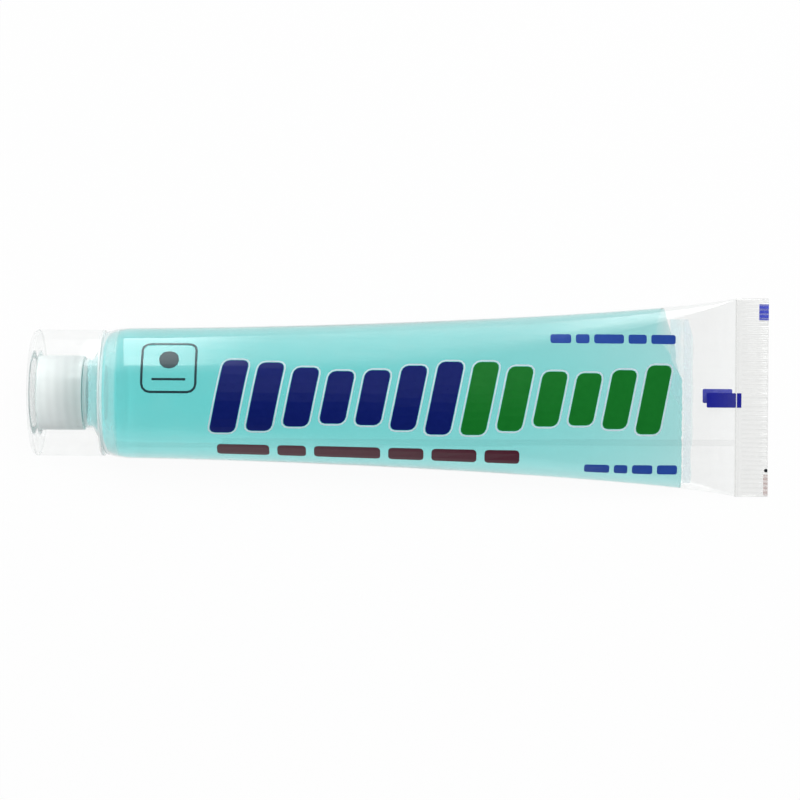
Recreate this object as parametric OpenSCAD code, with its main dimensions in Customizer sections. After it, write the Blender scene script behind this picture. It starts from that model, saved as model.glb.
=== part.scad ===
// A clear toothpaste tube with its screw cap on, filled with gel and lying on its back.
// X runs from the cap to the crimped tail, Z is up, and the origin is under the middle of the tube.

/* [Sleeve] */
// Outer diameter of the round end of the sleeve
sleeve_d = 28; // [24:0.5:36]
// Length of the sleeve from its front edge to the trimmed tail
sleeve_len = 142.7; // [115:0.1:180]
// Wall thickness of the sleeve
sleeve_wall = 0.42; // [0.3:0.02:0.6]
// How far the front edge is drawn in where it is welded to the shoulder
tuck = 0.7; // [0.3:0.05:1.2]
// Length over which the front edge is drawn in
tuck_len = 4.3; // [3:0.1:8]
// Length of the slow start of the taper behind the shoulder
lead_in = 54; // [30:1:70]
// Fall of the crest of a half section over that start
lead_in_drop = 0.33; // [0:0.01:1]
// Length of the steep end of the taper before the crimp
lead_out = 16; // [10:1:28]
// Rise of a half section over that end
lead_out_rise = 7.7; // [5:0.1:9.5]
// Side radius of a section near the tail, as a share of its half height
side_round = 0.8; // [0.6:0.05:0.95]

/* [Crimp] */
// Length of the crimp along the tube
crimp_len = 6.9; // [5:0.05:10]
// Thickness of the crimp over its ribs
crimp_t = 0.9; // [0.9:0.01:1.4]
// Length of the smooth ridge that the jaws leave at the front of the crimp
ridge_len = 1; // [0.5:0.1:2]
// Height of that ridge above the ribs
ridge_rise = 0.12; // [0.05:0.01:0.3]
// Spacing of the ribs across the crimp
rib_pitch = 1; // [0.8:0.05:2]
// Depth of the ribs
rib_depth = 0.12; // [0.05:0.01:0.2]
// Length of the deeper ribs along the trimmed edge
edge_rib_len = 1.8; // [1:0.1:3]
// Depth of the ribs along the trimmed edge
edge_rib_depth = 0.22; // [0.1:0.01:0.3]

/* [Lap seam] */
// Distance of the seam from the middle of the back
seam_offset = 10; // [4:0.5:12]
// Width of the overlap
seam_w = 1.4; // [1:0.1:3]
// Step that the overlap makes on the outside
seam_step = 0.1; // [0.05:0.01:0.2]

/* [Neck and shoulder] */
// Outer diameter of the neck over its thread
neck_d = 13.6; // [11:0.1:14]
// Length of the threaded neck from its mouth to the collar
neck_len = 9.7; // [8:0.1:14]
// Chamfer round the mouth
mouth_chamfer = 0.5; // [0.2:0.1:0.8]
// Diameter of the mouth
mouth_d = 9; // [6:0.1:10]
// Length of the lip that narrows the neck to its mouth
lip_len = 1.2; // [0.8:0.1:3]
// Wall thickness of the neck
neck_wall = 1.4; // [1:0.1:2]
// Diameter of the collar under the thread
collar_d = 15; // [14.6:0.1:18]
// Length of the collar
collar_len = 1.7; // [1:0.1:4]
// How much narrower than the sleeve the cone is where it meets the shoulder's rounded edge
cone_step = 5.8; // [4:0.1:8]
// Length of the shoulder's cone along the tube
cone_len = 2.1; // [1.5:0.1:6]
// Length of the shoulder's rounded edge along the tube
edge_len = 1.6; // [1.2:0.1:3]
// Wall thickness of the shoulder
head_wall = 1; // [0.8:0.1:1.5]
// Length of the spigot welded inside the sleeve
spigot_len = 2.5; // [1.5:0.1:4]
// Wall thickness of the spigot
spigot_wall = 0.8; // [0.6:0.1:1.2]
// Clearance between the spigot and the sleeve
weld_gap = 0.05; // [0.04:0.01:0.1]

/* [Cap] */
// How much narrower than the sleeve the cap is
cap_step = 1; // [0.2:0.1:3]
// Wall thickness of the skirt
cap_wall = 0.85; // [0.7:0.05:1.5]
// Thickness of the end disc
cap_top = 1.4; // [1:0.1:2.5]
// Radius of the rounded end edge
cap_edge = 1.1; // [0.5:0.1:2]
// Wall thickness of the threaded inner ring
ring_wall = 1; // [0.8:0.05:1.5]
// Radial clearance of the inner ring over the neck
thread_gap = 0.15; // [0.1:0.01:0.3]
// Gap between the inner ring and the collar when the mouth is sealed
land_gap = 0.2; // [0.1:0.05:0.5]
// Gap between the skirt's rim and the shoulder
rim_gap = 0.15; // [0.1:0.01:0.5]

/* [Gel] */
// Length of the empty tail between the gel and the crimp
headspace = 12.5; // [9:0.1:30]
// Clearance round the gel
gel_gap = 0.08; // [0.06:0.01:0.15]

/* [Print] */
// Thickness of an ink film
ink_t = 0.06; // [0.05:0.01:0.1]
// Gap between the sleeve and an ink film
ink_gap = 0.05; // [0.05:0.01:0.1]
// Distance from the sleeve's front edge to the left side of the slanted bars
bars_start = 23.3; // [20:0.1:28]
// Distance from the right side of the slanted bars to the crimp
bars_end = 16.5; // [15:0.1:30]
// Space between two slanted bars
bar_space = 2.15; // [1.5:0.05:4]
// Height of the tallest slanted bar
bar_h = 15.9; // [10:0.1:17]
// Share of its height that the lowest bar loses to the wave
bar_wave = 0.3; // [0:0.05:0.5]
// Sideways lean of a bar for each millimetre of height
bar_lean = 0.2; // [0:0.05:0.4]
// Distance of the row of bars below the middle of the front
bar_drop = 0.65; // [0:0.05:2]
// Number of navy bars
navy_bar_count = 7; // [3:1:7]
// Number of green bars
green_bar_count = 6; // [3:1:6]
// Width of the pale keyline round each bar
keyline_w = 0.3; // [0.2:0.05:0.5]
// Gap between a bar and its keyline
keyline_gap = 0.12; // [0.1:0.01:0.2]
// Side of the square badge near the shoulder
badge_side = 11.8; // [8:0.1:13]
// Line width of the badge
badge_line = 0.5; // [0.4:0.05:1.5]
// Distance from the badge to the bars
badge_space = 4; // [2:0.1:6]
// Height of the maroon dashes
maroon_h = 3.4; // [1.5:0.1:4.5]
// Distance of the maroon dashes below the bars
maroon_space = 3.2; // [1.5:0.1:5]
// Height of the fine dashes near the tail
fine_h = 2; // [1:0.1:3]
// Distance of the upper fine dashes above the bars
upper_space = 4.1; // [2:0.1:6]
// Distance of the lower fine dashes below the bars
lower_space = 6.2; // [5:0.1:8]

/* [Register marks] */
// Length of the front eye mark along the tube
eye_len = 7; // [4:0.5:8]
// Width of the eye marks
eye_w = 3.2; // [2:0.1:8]
// Width of the blue mark on the crimp
blue_mark_w = 3.5; // [2:0.1:6]
// Length of the blue mark along the tube
blue_mark_len = 2.1; // [1:0.1:4]
// Distance of the blue mark from the side of the crimp
blue_mark_inset = 1.3; // [0.5:0.1:5]
// Width of the pink mark on the crimp
pink_mark_w = 4.6; // [2:0.1:6]
// Length of the pink mark along the tube
pink_mark_len = 1; // [0.5:0.05:2]
// Distance of the pink mark from the side of the crimp
pink_mark_inset = 0.3; // [0.2:0.1:5]

/* [Hidden] */
$fn = 64;
// Points round a section, and sections along the belly
ring_n = 48;
belly_n = 14;
sleeve_r = sleeve_d / 2;
girth = PI * sleeve_d;
crimp_h = crimp_t / 2;
// Share of the belly at which the two walls meet at the crimp
walls_meet = 0.985;
// Side radius of a round section as a share of its half height, just short of a circle's
round_share = 0.98;
front_r = sleeve_r - tuck;
spigot_r = front_r - sleeve_wall - weld_gap;
spigot_in_r = spigot_r - spigot_wall;
mouth_r = mouth_d / 2;
neck_r = neck_d / 2;
neck_in_r = neck_r - neck_wall;
collar_r = collar_d / 2;
cone_r = (sleeve_d - cone_step) / 2;
cap_r = (sleeve_d - cap_step) / 2;
skirt_in_r = cap_r - cap_wall;
ring_in_r = neck_r + thread_gap;
ring_out_r = ring_in_r + ring_wall;
// Places along X
total_len = cap_top + neck_len + collar_len + cone_len + edge_len + sleeve_len;
cap_x = -total_len / 2;
mouth_x = cap_x + cap_top;
lip_x = mouth_x + lip_len;
land_x = mouth_x + neck_len;
cone_x = land_x + collar_len;
edge_x = cone_x + cone_len;
front_x = edge_x + edge_len;
belly_start = front_x + tuck_len;
tail_x = front_x + sleeve_len;
crimp_x = tail_x - crimp_len;
fill_x = crimp_x - headspace;
// The skirt's rim stands off the shoulder's rounded edge by the rim gap
rim_reach = min(1, max(0, (skirt_in_r - rim_gap - cone_r) / (front_r - cone_r)));
rim_x = front_x - edge_len * sqrt(1 - rim_reach ^ 2);
// The inside of the shoulder runs parallel to its cone
cone_slope = cone_len / (cone_r - collar_r);
shoulder_t = head_wall * sqrt(1 + cone_slope ^ 2);
function shoulder_in_x(r) = edge_x - (cone_r - r) * cone_slope + shoulder_t;

halvings = 22;

// The belly: half its height falls along a smooth curve from the round end to the crimp
function bezier(t, a, b, c, d) =
    (1 - t) ^ 3 * a + 3 * (1 - t) ^ 2 * t * b + 3 * (1 - t) * t ^ 2 * c + t ^ 3 * d;
function belly_x(t) = bezier(t, belly_start, belly_start + lead_in, crimp_x - lead_out, crimp_x);
function belly_h(t) = bezier(t, sleeve_r, sleeve_r - lead_in_drop, crimp_h + lead_out_rise, crimp_h);
// The place of an x along that curve, found by halving
function belly_t(x, lo = 0, hi = 1, n = halvings) =
    let (mid = (lo + hi) / 2)
    n == 0 ? mid : belly_x(mid) < x ? belly_t(x, mid, hi, n - 1) : belly_t(x, lo, mid, n - 1);

// A section is an oval of four arcs: [half width, half height, side radius, crest radius, crest angle]
function oval(w, h, r) =
    let (crest_r = ((w - r) ^ 2 + h ^ 2 - r ^ 2) / (2 * (h - r)))
    [w, h, r, crest_r, asin(min(1, (w - r) / (crest_r - r)))];
function arc_len(r, angle) = r * angle * PI / 180;
function quarter_len(o) = arc_len(o[3], o[4]) + arc_len(o[2], 90 - o[4]);
// The film doesn't stretch, so the half width is what keeps the girth
function oval_of_girth(h, r, lo, hi, n = halvings) =
    let (mid = (lo + hi) / 2)
    n == 0 ? oval(mid, h, r)
           : 4 * quarter_len(oval(mid, h, r)) < girth ? oval_of_girth(h, r, mid, hi, n - 1)
                                                      : oval_of_girth(h, r, lo, mid, n - 1);
function side_share(x) =
    round_share + (side_round - round_share) * max(0, (x - belly_start) / (crimp_x - belly_start));
function tucked_r(x) = sleeve_r - tuck * (1 - (x - front_x) / tuck_len) ^ 2;
function round_section(r) = oval(r, r, round_share * r);
function outer_section(x) =
    let (h = belly_h(belly_t(x)))
    x < belly_start ? round_section(tucked_r(x)) : oval_of_girth(h, side_share(x) * h, h, girth / 4);
function axis_z(x) = x < belly_start ? sleeve_r : belly_h(belly_t(x));
function inset_section(x, by) =
    let (o = outer_section(x))
    oval(o[0] - by, o[1] - by, side_share(x) * (o[1] - by));

// A point of a section and the angle of its normal, at distance s along a quarter from the crest
function quarter_point(o, s) =
    let (crest = arc_len(o[3], o[4]), side = o[4] + (s - crest) / o[2] * 180 / PI, top = s / o[3] * 180 / PI)
    s <= crest ? [o[3] * sin(top), o[1] - o[3] + o[3] * cos(top), top]
               : [o[0] - o[2] + o[2] * sin(side), o[2] * cos(side), side];
// A point at a share of the girth, which runs from the crest towards +Y and round
function ring_point(x, o, share, lift = 0) =
    let (u = (share + 1) % 1, back = u > 0.25 && u < 0.75, left = u > 0.5,
         s = 4 * quarter_len(o) * min(u, 1 - u, abs(0.5 - u)),
         p = quarter_point(o, s))
    [x, (left ? -1 : 1) * (p[0] + lift * sin(p[2])), axis_z(x) + (back ? -1 : 1) * (p[1] + lift * cos(p[2]))];

// Shares of the girth round the sleeve, with the four edges of the lap seam among them
seam_a = 0.5 + (seam_offset - seam_w / 2) / girth;
seam_b = 0.5 + (seam_offset + seam_w / 2) / girth;
seam_ramp = 0.1 / girth;
even_shares = [for (i = [0 : ring_n - 1]) i / ring_n];
sleeve_shares = concat([for (u = even_shares) if (u < seam_a - seam_ramp) u],
                       [seam_a, seam_a + seam_ramp, seam_b - seam_ramp, seam_b],
                       [for (u = even_shares) if (u > seam_b + seam_ramp) u]);
// The jaws press the seam flat, so its step fades where the belly is less than half a radius high
function seam_lift(x, u) =
    u > seam_a && u < seam_b ? seam_step * min(1, 2 * (axis_z(x) - crimp_h) / sleeve_r) : 0;
tuck_stations = [for (i = [0 : 3]) front_x + tuck_len * i / 4];
belly_stations = [for (i = [0 : belly_n]) belly_x(i / belly_n)];
station_gap = 0.5;
stations = concat(tuck_stations,
                  [for (x = belly_stations) if (x < fill_x - station_gap) x],
                  [fill_x],
                  [for (x = belly_stations) if (x > fill_x + station_gap) x]);

// A closed skin through rings of points, capped flat at both ends
module loft(rings) {
    n = len(rings[0]);
    m = len(rings);
    polyhedron(
        points = [for (ring = rings) each ring],
        faces = concat(
            [for (i = [1 : n - 2]) [0, i, i + 1]],
            [for (i = [1 : n - 2]) let (b = (m - 1) * n) [b, b + i + 1, b + i]],
            [for (k = [0 : m - 2], i = [0 : n - 1])
                let (j = (i + 1) % n, a = k * n)
                each [[a + i, a + n + j, a + j], [a + i, a + n + i, a + n + j]]]
        )
    );
}

// Turns a profile of [radius, x] points about the tube's axis
module turned(points) {
    translate([0, 0, sleeve_r])
        rotate([0, 90, 0])
            rotate_extrude()
                polygon(points);
}

module cap() {
    color([0.90, 0.93, 0.92])
        turned(concat(
            [[0, cap_x]],
            [for (a = [0 : 15 : 90]) [cap_r - cap_edge + cap_edge * sin(a), cap_x + cap_edge * (1 - cos(a))]],
            [[cap_r, rim_x], [skirt_in_r, rim_x], [skirt_in_r, mouth_x],
             [ring_out_r, mouth_x], [ring_out_r, land_x - land_gap],
             [ring_in_r, land_x - land_gap], [ring_in_r, mouth_x], [0, mouth_x]]
        ));
}

module head() {
    color([0.93, 0.95, 0.94])
        turned(concat(
            [[mouth_r, mouth_x], [neck_r - mouth_chamfer, mouth_x], [neck_r, mouth_x + mouth_chamfer],
             [neck_r, land_x], [collar_r, land_x], [collar_r, cone_x]],
            [for (a = [0 : 15 : 90]) [cone_r + (front_r - cone_r) * sin(a), front_x - edge_len * cos(a)]],
            [[spigot_r, front_x], [spigot_r, front_x + spigot_len], [spigot_in_r, front_x + spigot_len],
             [spigot_in_r, shoulder_in_x(spigot_in_r)], [neck_in_r, shoulder_in_x(neck_in_r)],
             [neck_in_r, lip_x], [mouth_r, lip_x]]
        ));
}

// A length of the crimp whose faces carry ribs of a given depth
module rib_band(x, length, half_w, depth) {
    count = round(2 * half_w / rib_pitch);
    function rib_y(i) = half_w * (i / count - 1);
    function rib_cut(i) = i % 2 == 0 ? depth : 0;
    translate([x, 0, 0])
        rotate([90, 0, 90])
            linear_extrude(length)
                polygon(concat(
                    [for (i = [0 : 2 * count]) [rib_y(i), rib_cut(i)]],
                    [for (i = [2 * count : -1 : 0]) [rib_y(i), crimp_t - rib_cut(i)]]
                ));
}

module sleeve() {
    half_w = outer_section(crimp_x)[0];
    ridge_top = crimp_t + ridge_rise;
    inner_stations = concat([for (i = [0 : len(stations) - 2]) stations[i]], [belly_x(walls_meet)]);
    outer = [for (x = stations)
        let (o = outer_section(x)) [for (u = sleeve_shares) ring_point(x, o, u, seam_lift(x, u))]];
    inner = [for (x = inner_stations)
        let (o = inset_section(x, sleeve_wall)) [for (u = sleeve_shares) ring_point(x, o, u)]];
    color([0.92, 0.95, 0.95]) {
        loft(concat([for (i = [len(outer) - 1 : -1 : 0]) outer[i]], inner));
        translate([crimp_x - ridge_len / 4, -half_w, 0])
            cube([ridge_len * 1.25, 2 * half_w, ridge_top]);
        rib_band(crimp_x + ridge_len, crimp_len - ridge_len - edge_rib_len, half_w, rib_depth);
        rib_band(tail_x - edge_rib_len, edge_rib_len, half_w, edge_rib_depth);
    }
}

module gel() {
    mouth_gel_r = mouth_r - gel_gap;
    neck_gel_r = neck_in_r - gel_gap;
    spigot_gel_r = spigot_in_r - gel_gap;
    spigot_end_x = front_x + spigot_len + gel_gap;
    gel_stations = concat([spigot_end_x], [for (x = stations) if (x > spigot_end_x && x <= fill_x) x]);
    function round_ring(x, r) =
        let (o = round_section(r)) [for (u = even_shares) ring_point(x, o, u)];
    function belly_ring(x) =
        let (o = inset_section(x, sleeve_wall)) [for (u = even_shares) ring_point(x, o, u, -gel_gap)];
    color([0.43, 0.81, 0.81])
        loft(concat(
            [for (i = [len(gel_stations) - 1 : -1 : 0]) belly_ring(gel_stations[i])],
            [round_ring(spigot_end_x, spigot_gel_r),
             round_ring(shoulder_in_x(spigot_in_r) + 2 * gel_gap, spigot_gel_r),
             round_ring(shoulder_in_x(neck_in_r) + 2 * gel_gap, neck_gel_r),
             round_ring(lip_x + gel_gap, neck_gel_r),
             round_ring(lip_x + gel_gap, mouth_gel_r),
             round_ring(mouth_x + gel_gap, mouth_gel_r)]
        ));
}

// Ink shapes are grids of [x, s] points, where s runs over the front from its middle line towards +Y.
// A patch is a rectangle with rounded corners that leans by so much for each millimetre, in cells
// short enough along X for the curve that it lies on.
function patch_rows(half_h, corner) =
    let (straight = half_h - corner, cells = max(1, ceil(straight)))
    concat([for (a = [90 : -30 : 30]) [-straight - corner * sin(a), corner * (1 - cos(a))]],
           [for (i = [0 : cells]) [straight * (2 * i / cells - 1), 0]],
           [for (a = [30 : 30 : 90]) [straight + corner * sin(a), corner * (1 - cos(a))]]);
function patch(x, s, half_w, half_h, corner, lean = 0, cell = 10) =
    let (cells = ceil(2 * half_w / cell))
    [for (i = [0 : cells]) [for (row = patch_rows(half_h, corner))
        [x + (2 * i / cells - 1) * (half_w - row[1]) + lean * row[0], s + row[0]]]];
// A line of a given width round a patch
function patch_edge(half_w, half_h, corner) =
    let (right = patch_rows(half_h, corner), n = len(right))
    concat([for (row = right) [half_w - row[1], row[0]]],
           [for (i = [n - 1 : -1 : 0]) [right[i][1] - half_w, right[i][0]]]);
function outline(x, s, half_w, half_h, corner, line, lean = 0) =
    let (inner = patch_edge(half_w, half_h, corner),
         rows = patch_rows(half_h, corner),
         grow = [for (sx = [1, -1]) each [for (i = [0 : len(rows) - 1])
             let (k = sx > 0 ? i : len(rows) - 1 - i, a = rows[k][1] / corner,
                  out = acos(max(0, min(1, 1 - a))))
             [sx * line * cos(out), line * sin(out) * sign(rows[k][0])]]])
    [for (i = [0 : len(inner) - 1])
        [for (k = [1, 0])
            let (p = inner[i] + k * grow[i]) [x + p[0] + lean * p[1], s + p[1]]]];

function on_front(p, lift) = ring_point(p[0], outer_section(p[0]), p[1] / girth, lift);
function on_lining(p, lift) =
    let (o = inset_section(p[0], sleeve_wall)) ring_point(p[0], o, p[1] / girth, lift);
// Two layers of grid points with n rows of m points, joined along their edges
function film_faces(n, m, closed) =
    let (under = n * m, last = closed ? n - 1 : n - 2)
    concat(
        [for (i = [0 : last], j = [0 : m - 2])
            let (a = i * m + j, b = (i + 1) % n * m + j)
            each [[a, b, b + 1], [a, b + 1, a + 1],
                  [a + under, b + under + 1, b + under], [a + under, a + under + 1, b + under + 1]]],
        [for (i = [0 : last])
            let (a = i * m, b = (i + 1) % n * m, c = a + m - 1, d = b + m - 1)
            each [[a, a + under, b + under], [a, b + under, b],
                  [c, d + under, c + under], [c, d, d + under]]],
        closed ? [] : [for (j = [0 : m - 2])
            let (a = j, b = (n - 1) * m + j)
            each [[a, a + 1, a + 1 + under], [a, a + 1 + under, a + under],
                  [b, b + 1 + under, b + 1], [b, b + under, b + 1 + under]]]
    );
// A film of ink over a grid, on the outside of the front or on the lining of the back
module ink(grid, closed = false, lining = false) {
    lifts = lining ? [-ink_gap - ink_t, -ink_gap] : [ink_gap, ink_gap + ink_t];
    function place(p, lift) = lining ? on_lining(p, lift) : on_front(p, lift);
    polyhedron(
        points = [for (lift = lifts) each [for (row = grid) each [for (p = row) place(p, lift)]]],
        faces = film_faces(len(grid), len(grid[0]), closed)
    );
}

// The row of slanted bars, whose height follows a wave of two periods
bar_count = navy_bar_count + green_bar_count;
bars_len = sleeve_len - crimp_len - bars_start - bars_end;
bar_pitch = (bars_len + bar_space) / bar_count;
bar_w = bar_pitch - bar_space;
bar_corner = bar_w / 4;
bars_top = bar_h / 2 - bar_drop;
bars_foot = bar_h / 2 + bar_drop;
function bar_x(i) = front_x + bars_start + bar_w / 2 + i * bar_pitch;
function bar_half(i) = bar_h / 2 * (1 - bar_wave * (1 - cos(720 * i / bar_count)) / 2);
function bar(i) = patch(bar_x(i), -bar_drop, bar_w / 2, bar_half(i), bar_corner, bar_lean);
function bar_line(i) = outline(bar_x(i), -bar_drop, bar_w / 2 + keyline_gap, bar_half(i) + keyline_gap,
                               bar_corner + keyline_gap, keyline_w, bar_lean);

module keyline() {
    color([0.93, 0.98, 0.98])
        for (i = [0 : bar_count - 1])
            ink(bar_line(i), closed = true);
}

module navy_bars() {
    color([0.07, 0.13, 0.47])
        for (i = [0 : navy_bar_count - 1])
            ink(bar(i));
}

module green_bars() {
    color([0.08, 0.45, 0.17])
        for (i = [navy_bar_count : bar_count - 1])
            ink(bar(i));
}

// A row of dashes whose start and lengths are shares of the bars' length, half a dash's height apart
maroon_lengths = [0.115, 0.063, 0.146, 0.078, 0.1, 0.078];
upper_start = 0.736;
upper_lengths = [0.047, 0.031, 0.068, 0.042, 0.057];
lower_start = 0.815;
lower_lengths = [0.057, 0.031, 0.047, 0.047];
function sum_before(list, i) = i == 0 ? 0 : sum_before(list, i - 1) + list[i - 1];
module dashes(start, s, lengths, height) {
    gap = height / 2;
    for (i = [0 : len(lengths) - 1]) {
        half_len = lengths[i] * bars_len / 2;
        x = front_x + bars_start + (start + sum_before(lengths, i)) * bars_len + i * gap + half_len;
        ink(patch(x, s, half_len, height / 2, height / 4));
    }
}

module maroon_dashes() {
    color([0.42, 0.10, 0.30])
        dashes(0, -bars_foot - maroon_space - maroon_h / 2, maroon_lengths, maroon_h);
}

module blue_dashes() {
    color([0.10, 0.25, 0.62]) {
        dashes(upper_start, bars_top + upper_space + fine_h / 2, upper_lengths, fine_h);
        dashes(lower_start, -bars_foot - lower_space - fine_h / 2, lower_lengths, fine_h);
    }
}

// The badge stands on the middle line of the front: a square line round a disc and a short bar
badge_disc = 0.35;
badge_bar = 0.6;
module badge() {
    half = badge_side / 2;
    x = front_x + bars_start - badge_space - half;
    color([0.10, 0.16, 0.28]) {
        ink(outline(x, half, half - badge_line, half - badge_line, half / 4, badge_line), closed = true);
        ink(patch(x, half * 1.25, half * badge_disc, half * badge_disc, half * badge_disc * 0.9));
        ink(patch(x, half / 2, half * badge_bar, badge_line / 2, badge_line / 4));
    }
}

// An eye mark ends just short of where the belly does, and each lies a little off the middle line.
// The back one is a little shorter than the front one.
eye_corner = 0.3;
eye_margin = 0.2;
eye_cell = 1;
back_eye_short = 0.5;
front_eye_s = -0.65;
back_eye_s = girth / 2 - 0.3;
function eye_mark(belly_end, length, s) =
    patch(belly_end - eye_margin - length / 2, s, length / 2, eye_w / 2, eye_corner, cell = eye_cell);
// The front one goes on over the ridge of the crimp
module front_eye_mark() {
    color([0.09, 0.13, 0.53]) {
        ink(eye_mark(crimp_x, eye_len, front_eye_s));
        translate([crimp_x, front_eye_s - eye_w / 2, crimp_t + ridge_rise + ink_gap])
            cube([ridge_len, eye_w, ink_t]);
    }
}

module back_eye_mark() {
    color([0.35, 0.42, 0.73])
        ink(eye_mark(belly_x(walls_meet), eye_len - back_eye_short, back_eye_s), lining = true);
}

// A flat mark over the ribs at the trimmed edge, at a distance from one side of the crimp
module crimp_mark(length, width, side, from_side) {
    half_w = outer_section(crimp_x)[0];
    translate([tail_x - length, side * (half_w - from_side - width / 2) - width / 2, crimp_t + ink_gap])
        cube([length, width, ink_t]);
}

module crimp_blue_mark() {
    color([0.10, 0.20, 0.60])
        crimp_mark(blue_mark_len, blue_mark_w, 1, blue_mark_inset);
}

module crimp_pink_mark() {
    color([0.72, 0.60, 0.62])
        crimp_mark(pink_mark_len, pink_mark_w, -1, pink_mark_inset);
}

cap();
head();
sleeve();
gel();
keyline();
navy_bars();
green_bars();
maroon_dashes();
blue_dashes();
badge();
front_eye_mark();
back_eye_mark();
crimp_blue_mark();
crimp_pink_mark();
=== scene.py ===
"""The looks of a clear toothpaste tube that lies on its back with its cap on. Lengths are in millimetres."""

import math
import random

import bmesh
import bpy
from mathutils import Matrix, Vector


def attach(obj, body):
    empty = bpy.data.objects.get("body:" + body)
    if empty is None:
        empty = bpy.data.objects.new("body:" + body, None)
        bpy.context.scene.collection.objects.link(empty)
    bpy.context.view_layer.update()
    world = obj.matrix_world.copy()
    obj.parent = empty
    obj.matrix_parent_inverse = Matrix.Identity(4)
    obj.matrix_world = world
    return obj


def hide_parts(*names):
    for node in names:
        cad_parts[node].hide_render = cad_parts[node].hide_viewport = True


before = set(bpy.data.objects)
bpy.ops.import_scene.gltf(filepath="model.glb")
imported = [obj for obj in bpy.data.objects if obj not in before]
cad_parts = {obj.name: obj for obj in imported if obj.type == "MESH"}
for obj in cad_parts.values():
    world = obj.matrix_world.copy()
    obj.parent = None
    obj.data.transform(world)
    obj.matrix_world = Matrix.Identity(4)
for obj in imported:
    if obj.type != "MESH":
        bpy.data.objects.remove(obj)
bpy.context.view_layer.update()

# Head. The neck and shoulder are one injection moulding in natural polyethylene. A screw thread
# runs round the neck, and a short spigot behind the shoulder is welded inside the sleeve.

MM = 0.001
AXIS_Z = 14.0
MOUTH_X = -78.2
LIP_X = -77.0
LAND_X = -68.5
CONE_X = -66.8
EDGE_X = -64.7
FRONT_X = -63.1
SPIGOT_END_X = -60.6
MOUTH_R = 4.5
NECK_R = 6.15
NECK_IN_R = 5.4
COLLAR_R = 7.5
CONE_R = 11.1
FRONT_R = 13.3
SPIGOT_END_R = 13.72
THREAD_PITCH = 1.9
THREAD_START_X = -77.1
THREAD_TURNS = 3.6
THREAD_FROM_X = -77.8
THREAD_TO_X = -69.4
NECK_THREAD_RISE = 0.47


class Flow:
    """A value, colour or shader on its way through the nodes of a finish."""

    def __init__(self, tree, socket=None):
        self.tree = tree
        self.socket = socket

    def node(self, kind, sockets=None, out=0, stops=None, **settings):
        made = self.tree.nodes.new(kind)
        for name, value in settings.items():
            setattr(made, name, value)
        for i, (place, shade) in enumerate(stops or ()):
            stop = made.color_ramp.elements[i] if i < 2 else made.color_ramp.elements.new(place)
            stop.position = place
            stop.color = (*shade, 1.0)
        for name, value in (sockets or {}).items():
            if isinstance(value, Flow):
                self.tree.links.new(value.socket, made.inputs[name])
            else:
                made.inputs[name].default_value = value
        return Flow(self.tree, made.outputs[out]) if len(made.outputs) else None

    def math(self, operation, a, b):
        return self.node("ShaderNodeMath", {0: a, 1: b}, operation=operation)

    def __add__(self, other):
        return self.math("ADD", self, other)

    def __sub__(self, other):
        return self.math("SUBTRACT", self, other)

    def __rsub__(self, other):
        return self.math("SUBTRACT", other, self)

    def __mul__(self, other):
        return self.math("MULTIPLY", self, other)

    def __pow__(self, power):
        return self.math("POWER", self, power)

    __radd__ = __add__
    __rmul__ = __mul__


def new_finish(name):
    """An empty material, and the flow that its nodes start from."""
    finish = bpy.data.materials.new(name)
    finish.use_nodes = True
    finish.node_tree.nodes.clear()
    return finish, Flow(finish.node_tree)


def spot(start):
    """Where a point of the piece is, in metres."""
    return start.node("ShaderNodeTexCoord", out="Object")


def grain(start, place, scale, detail=3.0, roughness=0.55):
    """An even, cloudy variation from 0 to 1."""
    return start.node("ShaderNodeTexNoise", {"Vector": place, "Scale": scale, "Detail": detail,
                                             "Roughness": roughness}, out="Fac")


def band(start, value, low, high):
    """Rises smoothly from 0 to 1 as value goes from low to high."""
    return start.node("ShaderNodeMapRange", {"Value": value, "From Min": low, "From Max": high},
                      interpolation_type="SMOOTHSTEP")


def blend(start, factor, a, b):
    """Colour a at factor 0, colour b at factor 1."""
    return start.node("ShaderNodeMix", {"Factor": factor, 6: a, 7: b}, out=2, data_type="RGBA")


def bump(start, height, strength, distance):
    """The surface normal of a relief that stands up to distance metres proud."""
    return start.node("ShaderNodeBump", {"Height": height, "Strength": strength, "Distance": distance})


def on_slant(start):
    """0 where the surface faces the eye, 1 where it is seen edge on."""
    return start.node("ShaderNodeLayerWeight", {"Blend": 0.5}, out="Facing")


def sheen_share(start, normal_on, edge_on=1.0):
    """Share of light that a clear sheet mirrors, which grows towards grazing angles."""
    return (on_slant(start) ** 5.0) * (edge_on - normal_on) + normal_on


def wall_haze(start, share):
    """A wall's share of haze, grown for the longer way through it where it is seen on the slant."""
    way = (1.0 - on_slant(start) * 0.65) ** -1.0
    return 1.0 - (1.0 - share) ** way


def finished(start, surface, volume=None):
    """Gives the finish its surface and, for a clear body, what fills it."""
    sockets = {"Surface": surface}
    if volume is not None:
        sockets["Volume"] = volume
    start.node("ShaderNodeOutputMaterial", sockets)


def piece_from(name, points, faces, finishes, body, slot, smooth_below=40.0, finish_of=None):
    """Makes a piece from points in millimetres, rides it on its body and gives it its finish."""
    mesh = bpy.data.meshes.new(name)
    mesh.from_pydata([(x * MM, y * MM, z * MM) for x, y, z in points], [], faces)
    shaped = bmesh.new()
    shaped.from_mesh(mesh)
    bmesh.ops.recalc_face_normals(shaped, faces=shaped.faces)
    for face in shaped.faces:
        face.smooth = True
        if finish_of:
            face.material_index = finish_of(face.calc_center_median() / MM)
    shaped.to_mesh(mesh)
    shaped.free()
    mesh.set_sharp_from_angle(angle=math.radians(smooth_below))
    for finish in finishes:
        mesh.materials.append(finish)
    piece = bpy.data.objects.new(name, mesh)
    bpy.context.collection.objects.link(piece)
    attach(piece, body)
    return piece


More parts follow.
